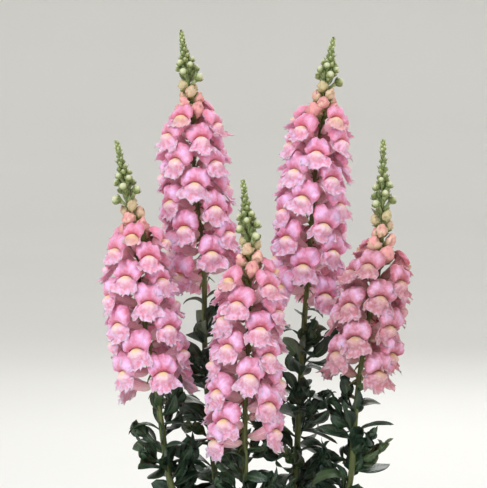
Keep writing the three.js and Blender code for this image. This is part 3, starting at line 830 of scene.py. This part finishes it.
def leaves_tree():
    """Leaves that wind up a stem and get shorter. The lowest ones rise over the pot's rim."""
    tree = Growth("leafy_stem", "count", "from", "to", "turn", "number", "kinds")
    k, number = tree.index(), tree["number"]
    up = k / (tree["count"] - 1)
    share = mix(tree["from"], tree["to"], up)
    length = mix(*LEAF["lengths"], up ** 1.8) * (1 + tree.wobble(k, number + 7) * LEAF["length stray"])
    over_rim = (1 - up) ** 8 * LEAF["rise over rim"]
    rise = mix(*LEAF["rises"], up) + tree.wobble(k, number + 11) * LEAF["rise stray"] + over_rim
    roll = tree.wobble(k, number + 17) * LEAF["roll stray"]
    marks = {"age": up, "chance": tree.wobble(k + 20, number + 5)}
    kind = (k * 7 + number * 3) % LEAF_KINDS
    return tree.set_out(share, leaf_azimuth(tree, k), rise, roll, length * MM, kind, marks)


def shoots_tree():
    """Side shoots in the axils of some leaves, by the leaves' own rule."""
    tree = Growth("side_shoots", "count", "leaves", "from", "to", "turn", "number", "above", "kinds")
    k, number = tree.index() * SHOOT["every"] + 1, tree["number"]
    up = k / (tree["leaves"] - 1)
    share = mix(tree["from"], tree["to"], up) + tree["above"]
    length = mix(*SHOOT["lengths"], up) + tree.wobble(k, number + 5) * SHOOT["length stray"]
    rise = mix(*SHOOT["rises"], up) + tree.wobble(k, number + 9) * SHOOT["rise stray"]
    marks = {"age": up, "chance": tree.wobble(k + 30, number + 5)}
    kind = (tree.index() + number) % SHOOT_KINDS
    return tree.set_out(share, leaf_azimuth(tree, k), rise, 90 * k, length * MM, kind, marks)


def buds_tree():
    """Buds from the first to the last. Where there is a tip length, the last one is the stem's tip."""
    tree = Growth("buds", "count", "below", "from", "to", "turn", "crowding", "first length", "last length",
                  "first rise", "last rise", "shut from", "tip length", "kinds")
    k = tree.index()
    up = k / (tree["count"] - 1)
    tip = (up > 0.999) * (tree["tip length"] > 0)
    share = mix(tree["from"], tree["to"], up ** tree["crowding"])
    azimuth = tree["turn"] + (tree["below"] + k) * DIVERGENCE
    length = mix(tree["first length"], tree["last length"], up ** 0.65)
    rise = mix(tree["first rise"], tree["last rise"], up ** 0.6)
    length = length * (1 - tip) + tree["tip length"] * tip
    rise = rise * (1 - tip) + tip * 90
    shut = up > tree["shut from"]
    kind = (k % BUD_KINDS) * (1 - shut) + (k % SHUT_KINDS + BUD_KINDS) * shut
    kind = kind * (1 - tip) + tip * (BUD_KINDS + SHUT_KINDS)
    marks = {"age": up, "chance": tree.wobble(k, tree["below"])}
    return tree.set_out(share, azimuth, rise, 0 * k, length * MM, kind, marks)


def stalk_tree():
    """A stem: a tapering tube round its line."""
    tree = Growth("stem", "bloom from", "foot radius", "bloom radius", "tip radius")
    line = tree.node("GeometryNodeMeshToCurve", {"Mesh": tree.own}).outputs[0]
    share = Term(tree, tree.node("GeometryNodeSplineParameter").outputs["Factor"])
    bloom = tree["bloom from"]
    low = mix(tree["foot radius"], tree["bloom radius"], share / bloom)
    high = mix(tree["bloom radius"], tree["tip radius"], (share - bloom) / (1 - bloom))
    above = share > bloom
    radius = low * (1 - above) + high * above
    ring = tree.node("GeometryNodeCurvePrimitiveCircle", {"Resolution": 10, "Radius": 1.0}).outputs[0]
    tube = tree.node("GeometryNodeCurveToMesh", {
        "Curve": line, "Profile Curve": ring, "Scale": radius, "Fill Caps": True}).outputs[0]
    tube = tree.marked(tube, "up", share, "POINT")
    return tree.end(tree.node("GeometryNodeSetShadeSmooth", {"Geometry": tube}).outputs[0])


def crumbs_tree():
    """Crumbs of soil scattered over the bed."""
    tree = Growth("soil_crumbs", "density", "smallest", "largest", "seed", "kinds", "kind count")
    spots = tree.node("GeometryNodeDistributePointsOnFaces",
                      {"Mesh": tree.own, "Density": tree["density"], "Seed": tree["seed"]})

    def draw(low, high, shift):
        node = tree.node("FunctionNodeRandomValue", {2: low, 3: high, "Seed": tree["seed"] + shift})
        return Term(tree, node.outputs[1])

    spin = tree.vector(draw(0.0, 6.28, 1), draw(0.0, 6.28, 2), draw(0.0, 6.28, 3))
    size = draw(0.0, 1.0, 4) ** 2.2 * (tree["largest"] - tree["smallest"]) + tree["smallest"]
    kind = tree.maths("FLOOR", draw(0.0, 0.999, 5) * tree["kind count"])
    return tree.placed(spots.outputs["Points"], kind, spin, size, {"chance": draw(-1.0, 1.0, 6)})


# ---------------------------------------------------------------- finishes


class Finish(Nodes):
    """A procedural material. A colour of three numbers is in screen values from 11 to 255."""

    def __init__(self, name, **settings):
        self.material = bpy.data.materials.new(name)
        self.material.use_nodes = True
        super().__init__(self.material.node_tree)
        self.shader = self.group.nodes["Principled BSDF"]
        for label, value in settings.items():
            self.shader.inputs[label.replace("_", " ")].default_value = value
        self.place = self.node("ShaderNodeTexCoord").outputs["Object"]

    def mark(self, name):
        return Term(self, self.node("ShaderNodeAttribute", attribute_name=name).outputs["Fac"])

    def grain(self, scale, detail=2.0, rough=0.5, place=None):
        feeds = {"Vector": place or self.place, "Scale": scale, "Detail": detail, "Roughness": rough}
        return Term(self, self.node("ShaderNodeTexNoise", feeds).outputs[0])

    def stretched(self, *scale):
        """Object coordinates stretched along an axis, for streaks."""
        return self.node("ShaderNodeMapping", {"Vector": self.place, "Scale": scale}).outputs[0]

    def ramp(self, term, low, high):
        """0 where the term is at low, 1 where it is at high, with soft ends."""
        made = self.node("ShaderNodeMapRange", {"Value": term, "From Min": low, "From Max": high},
                         interpolation_type="SMOOTHSTEP")
        return Term(self, made.outputs[0])

    def waves(self, term):
        return self.maths("SINE", term) * 0.5 + 0.5

    def blend(self, a, b, share, way="MIX"):
        made = self.node("ShaderNodeMix", data_type="RGBA", blend_type=way)
        for socket, value in zip((made.inputs[0], made.inputs[6], made.inputs[7]), (share, a, b)):
            if isinstance(value, tuple) and len(value) == 3:
                value = (*(((v / 255 + 0.055) / 1.055) ** 2.4 for v in value), 1)
            self.feed(socket, value)
        return made.outputs[2]

    def fade(self, a, b, term, low=0.35, high=0.7):
        """A colour that goes from a to b as the term goes from low to high."""
        return self.blend(a, b, self.ramp(term, low, high))

    def coats(self, colour, *coats):
        """A colour with others over it, each as far as its share goes."""
        for coat, share in coats:
            colour = self.blend(colour, coat, share)
        return colour

    def done(self, colour, roughness=None, bumps=()):
        self.feed(self.shader.inputs["Base Color"], colour)
        if roughness is not None:
            self.feed(self.shader.inputs["Roughness"], roughness)
        normal = None
        for height, strength, depth in bumps:
            bump = self.node("ShaderNodeBump", {"Height": height, "Strength": strength, "Distance": depth})
            if normal:
                self.feed(bump.inputs["Normal"], normal)
            normal = bump.outputs[0]
        if normal:
            self.feed(self.shader.inputs["Normal"], normal)
        return self.material


def petal_finish():
    """Satin petals: a pale streaked tube, a pink hood, a paler frilled lip and a cream and yellow palate,
    with a painted highlight on the hood, painted shade by the mouth and painted shade over the warmer stems.
    """
    paint = Finish("petal", Roughness=0.55, Subsurface_Weight=0.4, Subsurface_Scale=0.005,
                   Subsurface_Radius=(1.0, 0.35, 0.3), Specular_IOR_Level=0.35, Sheen_Weight=0.25,
                   Sheen_Roughness=0.4)
    mark, ramp = paint.mark, paint.ramp
    hood, rim, age, crown, around = (mark(label) for label in ("hood", "rim", "age", "crown", "around"))
    cloud = paint.grain(260, 3)
    streak = paint.waves(around * 60 + cloud * 6)
    tube = paint.coats(
        (242, 164, 190),
        ((252, 214, 224), streak * cloud * 1.6),
        ((244, 224, 204), mark("foot") * 0.7))
    brow = paint.fade((218, 116, 146), (236, 158, 194), cloud)
    # A painted highlight in pale lavender across the middle of the hood's lobes.
    brow = paint.blend(brow, (247, 206, 250), crown * (cloud + 0.5))
    skirt = paint.fade((234, 156, 180), (246, 205, 238), cloud, high=0.68)
    lips = paint.blend(skirt, brow, hood)
    outside = paint.blend(tube, lips, ramp(rim, 0.15, 0.75) * 0.85)
    palate = paint.fade((248, 222, 228), (232, 214, 160), age, 0.86, 0.98)
    face = paint.coats(
        lips,
        ((228, 204, 160), (1 - hood) * ramp(age, 0.9, 1.0) * 0.5),
        # Deeper rose on the hood by the mouth: partly its own colour, partly painted shade under its
        # overhang.
        ((204, 92, 124), mark("mouth") * hood * 0.7),
        (palate, mark("palate") * (ramp(age, 0.8, 1.0) * 0.2 + 0.78)),
        ((252, 224, 148), mark("yellow") * 0.8))
    veins = paint.waves(around * 150 + cloud * 5)
    colour = paint.coats(
        outside,
        (face, mark("facing")),
        ((252, 226, 244), ramp(rim, 0.86, 1.0) * 0.75),
        ((214, 112, 150), ramp(veins, 0.55, 1.0) * 0.12),
        ((222, 116, 136), ramp(age, 0.6, 1.1) * (hood * 0.3 + 0.2)))
    # Painted shade and a warmer pink: a stem's petals are multiplied darker and warmer as far as its value
    # goes, less under the painted highlight and the paler mottling.
    shade = mark("blush") * (1 - crown * 0.6) * (1 - ramp(cloud, 0.4, 0.7) * 0.3)
    colour = paint.blend(colour, (0.62, 0.5, 0.43, 1), shade, "MULTIPLY")
    colour = paint.blend(colour, (250, 230, 246), (mark("chance") * 0.5 + 0.5) * 0.12)
    return paint.done(colour, bumps=[(veins, 0.12, 0.0004), (paint.grain(330, 3), 0.5, 0.0011)])


def pink_bud_finish():
    """Buds flushed with pink over cream, greener at the foot and the younger they are."""
    paint = Finish("pink_bud", Roughness=0.5, Subsurface_Weight=0.2, Subsurface_Scale=0.003,
                   Subsurface_Radius=(1.0, 0.45, 0.3))
    tip, age = paint.mark("tip"), paint.mark("age")
    flush = paint.grain(1.0, 4, place=paint.stretched(260, 260, 130))
    early = (0.45 - age) * 0.3
    pink = paint.ramp(flush + paint.mark("chance") * 0.08 + tip * 0.3 + early, 0.52, 0.76)
    colour = paint.coats(
        paint.fade((200, 178, 126), (242, 208, 182), tip, 0.05),
        ((231, 146, 155), pink * 0.75),
        ((190, 184, 132), paint.ramp(age, 0.45, 1.0) * 0.75),
        ((120, 130, 74), paint.mark("sepal")))
    return paint.done(colour, bumps=[(paint.grain(330, 3), 0.6, 0.0012)])


def stem_finish():
    paint = Finish("stem_skin", Roughness=0.5, Subsurface_Weight=0.05, Subsurface_Scale=0.002)
    streak = paint.grain(1.0, 3, place=paint.stretched(260, 260, 30))
    colour = paint.coats(
        paint.fade((82, 92, 48), (110, 121, 64), streak, high=0.65),
        ((96, 84, 50), paint.ramp(paint.grain(90, 3), 0.55, 0.75) * 0.5),
        ((156, 170, 104), paint.ramp(paint.mark("up"), 0.45, 0.7) * 0.85))
    return paint.done(colour, bumps=[(streak, 0.4, 0.0006)])


def calyx_finish():
    paint = Finish("calyx", Roughness=0.6, Subsurface_Weight=0.05, Subsurface_Scale=0.002)
    colour = paint.fade((108, 122, 66), (150, 160, 98), paint.grain(400, 3))
    colour = paint.blend(colour, (128, 80, 60), paint.ramp(paint.grain(150, 2), 0.5, 0.7) * 0.5)
    return paint.done(colour, bumps=[(paint.grain(1500, 2), 0.3, 0.0003)])


def green_bud_finish():
    paint = Finish("green_bud", Roughness=0.5, Subsurface_Weight=0.15, Subsurface_Scale=0.002)
    cloud, height = paint.grain(420, 3), paint.mark("petal")
    green = paint.fade((102, 118, 62), (146, 160, 96), cloud)
    green = paint.blend(green, (188, 198, 146), paint.ramp(paint.mark("rib"), 0.4, 0.0) * 0.5)
    ball = paint.fade((142, 158, 92), (216, 218, 182), height, 0.4, 1.0)
    return paint.done(paint.fade(green, ball, height, 0.0, 0.1), bumps=[(cloud, 0.2, 0.0004)])


def leaf_finish():
    """Dark, bluish, glossy leaves with a paler rib and fine side veins."""
    paint = Finish("leaf", Specular_IOR_Level=0.5, Subsurface_Weight=0.04, Subsurface_Scale=0.002)
    cloud = paint.grain(120, 4)
    colour = paint.coats(
        paint.fade((31, 53, 41), (54, 82, 58), cloud),
        ((92, 116, 66), paint.ramp(paint.mark("chance"), 0.3, 1.0) * 0.5),
        ((104, 130, 84), paint.ramp(paint.mark("age"), 0.75, 1.0) * 0.35),
        ((132, 150, 100), paint.ramp(paint.mark("rib"), 0.35, 1.0) * 0.6))
    spread = paint.maths("ABSOLUTE", paint.mark("across"))
    veins = paint.waves((paint.mark("up") * 11 - spread * 2.2) * 6.28)
    return paint.done(colour, cloud * 0.2 + 0.28,
                      bumps=[(veins, 0.25, 0.0006), (paint.grain(700, 3), 0.2, 0.0004)])


def clay_finish():
    """Fired clay with pale mineral bloom, throwing marks, dark flecks and a damp foot."""
    paint = Finish("terracotta", Roughness=0.88, Specular_IOR_Level=0.25)
    cloud = paint.grain(9, 5, 0.6)
    height = Term(paint, paint.node("ShaderNodeSeparateXYZ", {0: paint.place}).outputs[2])
    colour = paint.coats(
        paint.fade((168, 92, 60), (190, 116, 78), cloud),
        ((208, 166, 138), paint.ramp(paint.grain(30, 8, 0.75), 0.5, 0.85) * 0.45),
        ((120, 62, 42), paint.ramp(paint.grain(420, 2), 0.62, 0.8) * 0.5),
        ((128, 76, 54), paint.ramp(height + cloud * 0.02, 0.034, 0.0) * 0.5))
    rings = paint.waves(height * 900 + cloud * 2)
    return paint.done(colour, bumps=[(rings, 0.12, 0.0006), (paint.grain(350, 4), 0.35, 0.0006)])


def soil_finish():
    paint = Finish("potting_soil", Roughness=0.95, Specular_IOR_Level=0.2)
    colour = paint.fade((38, 26, 20), (78, 56, 42), paint.grain(240, 5, 0.7))
    colour = paint.blend(colour, (104, 78, 58), paint.ramp(paint.mark("chance"), 0.2, 1.0) * 0.6)
    return paint.done(colour, bumps=[(paint.grain(700, 4, 0.7), 0.8, 0.0015)])


# ---------------------------------------------------------------- pot and soil

ROUND_SIDES = 96


def lathe(profile, **ends):
    """A body of rotation from a profile of (radius, height), with its ends closed unless said otherwise."""
    turn = np.linspace(0, 2 * np.pi, ROUND_SIDES, endpoint=False)
    rings = np.array([[(r * math.cos(a), r * math.sin(a), z) for a in turn] for r, z in profile])
    return Skin().tube(rings, **ends)


def pot():
    foot, body, rim, height = POT_FOOT_RADIUS, POT_BODY_RADIUS, POT_RIM_RADIUS, POT_HEIGHT
    under = height - POT_RIM_HEIGHT
    inner_foot, inner_rim = foot - POT_WALL, rim - POT_WALL
    profile = [
        (0.5, 0), (20, 0), (foot - 2.5, 0), (foot - 0.7, 0.6), (foot, 2.4),
        (mix(foot, body, 0.5) - 0.2, under / 2), (body, under - 2), (body + 0.6, under - 0.4),
        (rim - 2, under), (rim - 0.5, under + 0.7), (rim, under + 2.5),
        (rim - 0.5, under + POT_RIM_HEIGHT / 2), (rim, height - 4), (rim - 0.8, height - 1.4),
        (rim - 3, height), (inner_rim - 1, height),
        (inner_rim - 2.8, height - 1.2), (inner_rim - 3.4, height - 4), (body - POT_WALL, under),
        (inner_foot + 3, POT_FLOOR + 4), (inner_foot - 3, POT_FLOOR), (0.5, POT_FLOOR),
    ]
    return linked(lathe(profile).object("pot_clay"))


def bed():
    """The soil's surface: a low mound with lumps, closed underneath."""
    under = POT_HEIGHT - POT_RIM_HEIGHT
    share = (SOIL_TOP - under) / POT_RIM_HEIGHT
    edge = mix(POT_BODY_RADIUS - POT_WALL, POT_RIM_RADIUS - POT_WALL - 3, share) - 0.6
    turn = np.linspace(0, 2 * np.pi, ROUND_SIDES, endpoint=False)
    rings = [[(r * math.cos(a), r * math.sin(a), SOIL_TOP - 16) for a in turn] for r in (2, edge - 4)]
    for r in np.linspace(edge, 1.5, 34):
        height = SOIL_TOP - 2 + (SOIL_MOUND + 2) * (1 - (r / edge) ** 2)
        row = []
        for a in turn:
            x, y = r * math.cos(a), r * math.sin(a)
            lump = 2.2 * noise.noise((x / 13, y / 13, 3.1)) + 1.2 * noise.noise((x / 4.5, y / 4.5, 8.2))
            row.append((x, y, height + lump - 1.5))
        rings.append(row)
    return linked(Skin().tube(np.array(rings)).object("soil_bed"))


CRUMB_KINDS = 4


def crumb_kinds():
    """Crumbs 1000 mm across, to be scaled."""
    made = []
    for seed in range(CRUMB_KINDS):
        chance = random.Random(130 + seed).uniform
        rings = egg(1000, 500, 1.0, sides=6, rows=4) - [500, 0, 0]
        for point in rings.reshape(-1, 3):
            point *= 1 + 0.5 * noise.noise(Vector(point) / 380 + Vector((chance(0, 50), 0, 0)))
        made.append(Skin().tube(rings * [1, 0.85, 0.7]))
    return kinds_of("crumb", made)


# ---------------------------------------------------------------- building the plant


def belong(piece, slot, *nodes):
    """Hangs a piece on the plant's one body. Nodes are the solids that it stands for."""
    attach(piece, "root")
    if nodes:
        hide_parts(*nodes)


def grow_piece(stem, name, tree, slot, *nodes, **inputs):
    """Grows one of the stem's pieces on its line. Inputs that its tree doesn't have are passed over."""
    place = {"turn": stem.spec["turn"], "number": stem.number}
    belong(grown(f"{name}_{stem.name}", stem.host, tree, **place, **inputs), slot, *nodes)


def grow_flowers(stem):
    row = {"count": stem.spec["flowers"], "from": stem.bloom_from, "to": stem.bloom_to,
           "row pull": stem.spec["row pull"], "blush": stem.spec["blush"], "open kinds": OPEN_KINDS,
           "young kinds": len(YOUNG_SHAPES)}
    solid = "flowers_" + stem.name
    grow_piece(stem, "petals", raceme, "petals", solid, kinds=flower_kinds, material=petal, **row)
    grow_piece(stem, "calyxes", raceme, "green", kinds=calyx_kinds, material=calyx_green, **row)


def grow_buds(stem):
    """The coloured buds, and above them the green ones."""
    below = stem.spec["flowers"]
    row = {**PINK_BUDS, "below": below, "from": stem.pink_from, "to": stem.pink_to}
    grow_piece(stem, "pink_buds", budding, "petals", kinds=pink_shelf, material=bud_pink, **row)
    row = {**GREEN_BUDS, "below": below + PINK_BUDS["count"], "from": stem.pink_to + GREEN_BUDS_CLEAR,
           "to": GREEN_BUDS_TO}
    grow_piece(stem, "green_buds", budding, "green", kinds=green_shelf, material=bud_green, **row)


def grow_stalk(stem):
    foot, bloom, tip = STEM_RADII
    row = {"foot radius": stem.spec.get("foot radius", foot) * MM, "bloom radius": bloom * MM,
           "tip radius": tip * MM, "bloom from": stem.bloom_from}
    grow_piece(stem, "stalk", stalky, "green", "stem_" + stem.name, material=stem_skin, **row)


def grow_leaves(stem):
    """The leaves, and side shoots in the axils of some."""
    low = stem.share_at(SOIL_TOP + LEAF["lowest"])
    high = stem.bloom_from - LEAF["below flowers"] * MM / stem.length
    leaves = round((high - low) * stem.length / MM / LEAF["spacing"])
    shoots = len([k for k in range(1, leaves, SHOOT["every"]) if k / (leaves - 1) < SHOOT["up to"]])
    row = {"from": low, "to": high, "leaves": leaves, "above": SHOOT["above"] * MM / stem.length,
           "material": leaf_green}
    grow_piece(stem, "leaves", leafy, "green", kinds=leaf_shelf, count=leaves, **row)
    grow_piece(stem, "side_shoots", shooting, "green", kinds=shoot_shelf, count=shoots, **row)


stems = [Stem(number, name, spec) for number, (name, spec) in enumerate(STEMS.items())]
flowers = [corolla(seed) for seed in range(OPEN_KINDS)]
flowers += [corolla(20 + k, openness) for k, openness in enumerate(YOUNG_SHAPES)]
flower_kinds = kinds_of("flower", flowers)
calyx_kinds = kinds_of("calyx", [calyx(200 + k) for k in range(len(flowers))])
leaf_shelf, shoot_shelf = leaf_kinds(), shoot_kinds()
green_shelf, pink_shelf = green_bud_kinds(), pink_bud_kinds()

petal, calyx_green, stem_skin = petal_finish(), calyx_finish(), stem_finish()
leaf_green, bud_green, bud_pink = leaf_finish(), green_bud_finish(), pink_bud_finish()
raceme, leafy, shooting, budding, stalky = (make() for make in (
    raceme_tree, leaves_tree, shoots_tree, buds_tree, stalk_tree))
for stem in stems:
    for grow in (grow_flowers, grow_buds, grow_stalk, grow_leaves):
        grow(stem)

clay_pot, soil_bed, earth = pot(), bed(), soil_finish()
clay_pot.data.materials.append(clay_finish())
soil_bed.data.materials.append(earth)
crumbs = grown("soil_crumbs", soil_bed, crumbs_tree(), kinds=crumb_kinds(), material=earth, **{
    "density": 30000, "smallest": 0.0011, "largest": 0.0052, "seed": 7, "kind count": CRUMB_KINDS})
belong(clay_pot, "clay", "pot")
belong(soil_bed, "soil", "soil")
belong(crumbs, "soil")

for stem in stems:
    bpy.data.objects.remove(stem.host)

# ---------------------------------------------------------------- floor, light and camera

VIEW_CENTRE = Vector((-0.0185, 0.0, 0.458))
VIEW_HEIGHT = 0.488  # height of the picture, at the plant
VIEW_DISTANCE = 2.2
VIEW_ELEVATION = 3.5


def studio_floor():
    """A pale floor that curves up into a wall all round. Its profile is in metres."""
    profile = [(0.4, 0), (3, 0), (6, 0), (7.5, 0.1), (8.4, 0.5), (8.9, 1.2), (9, 2.2), (9, 7)]
    floor = linked(lathe(np.array(profile) / MM, close=(True, False)).object("studio_floor"))
    paint = Finish("floor_paint", Roughness=0.9, Specular_IOR_Level=0.1)
    pale = paint.blend((234, 234, 231), (238, 238, 235), paint.grain(1.5, 2))
    floor.data.materials.append(paint.done(pale))


def area_light(name, at, aim, size, power, colour):
    lamp = bpy.data.lights.new(name, "AREA")
    lamp.shape, lamp.size, lamp.energy, lamp.color = "DISK", size, power, colour
    made = linked(bpy.data.objects.new(name, lamp))
    made.location = at
    made.rotation_euler = (Vector(aim) - Vector(at)).to_track_quat("-Z", "Y").to_euler()


def camera():
    lens = bpy.data.cameras.new("camera")
    lens.sensor_width = 36
    lens.lens = lens.sensor_width * VIEW_DISTANCE / VIEW_HEIGHT
    made = linked(bpy.data.objects.new("camera", lens))
    tilt = math.radians(VIEW_ELEVATION)
    back = Vector((0, -math.cos(tilt), math.sin(tilt)))
    made.location = VIEW_CENTRE + back * VIEW_DISTANCE
    made.rotation_euler = (-back).to_track_quat("-Z", "Y").to_euler()
    lens.clip_end = 60
    bpy.context.scene.camera = made


studio_floor()
area_light("key", (-1.3, -1.7, 2.0), (0, 0, 0.42), 1.3, 36, (0.88, 0.93, 1.0))
area_light("fill", (1.7, -1.6, 0.9), (0, 0, 0.42), 1.8, 10, (1.0, 0.94, 0.9))
area_light("back", (0.6, 2.2, 1.8), (0, 0, 0.45), 1.4, 18, (1.0, 1.0, 1.0))
world = bpy.data.worlds.new("studio_air")
world.use_nodes = True
world.node_tree.nodes["Background"].inputs["Color"].default_value = (0.93, 0.915, 0.9, 1)
world.node_tree.nodes["Background"].inputs["Strength"].default_value = 0.94
bpy.context.scene.world = world
bpy.context.scene.view_settings.view_transform = "Standard"
camera()
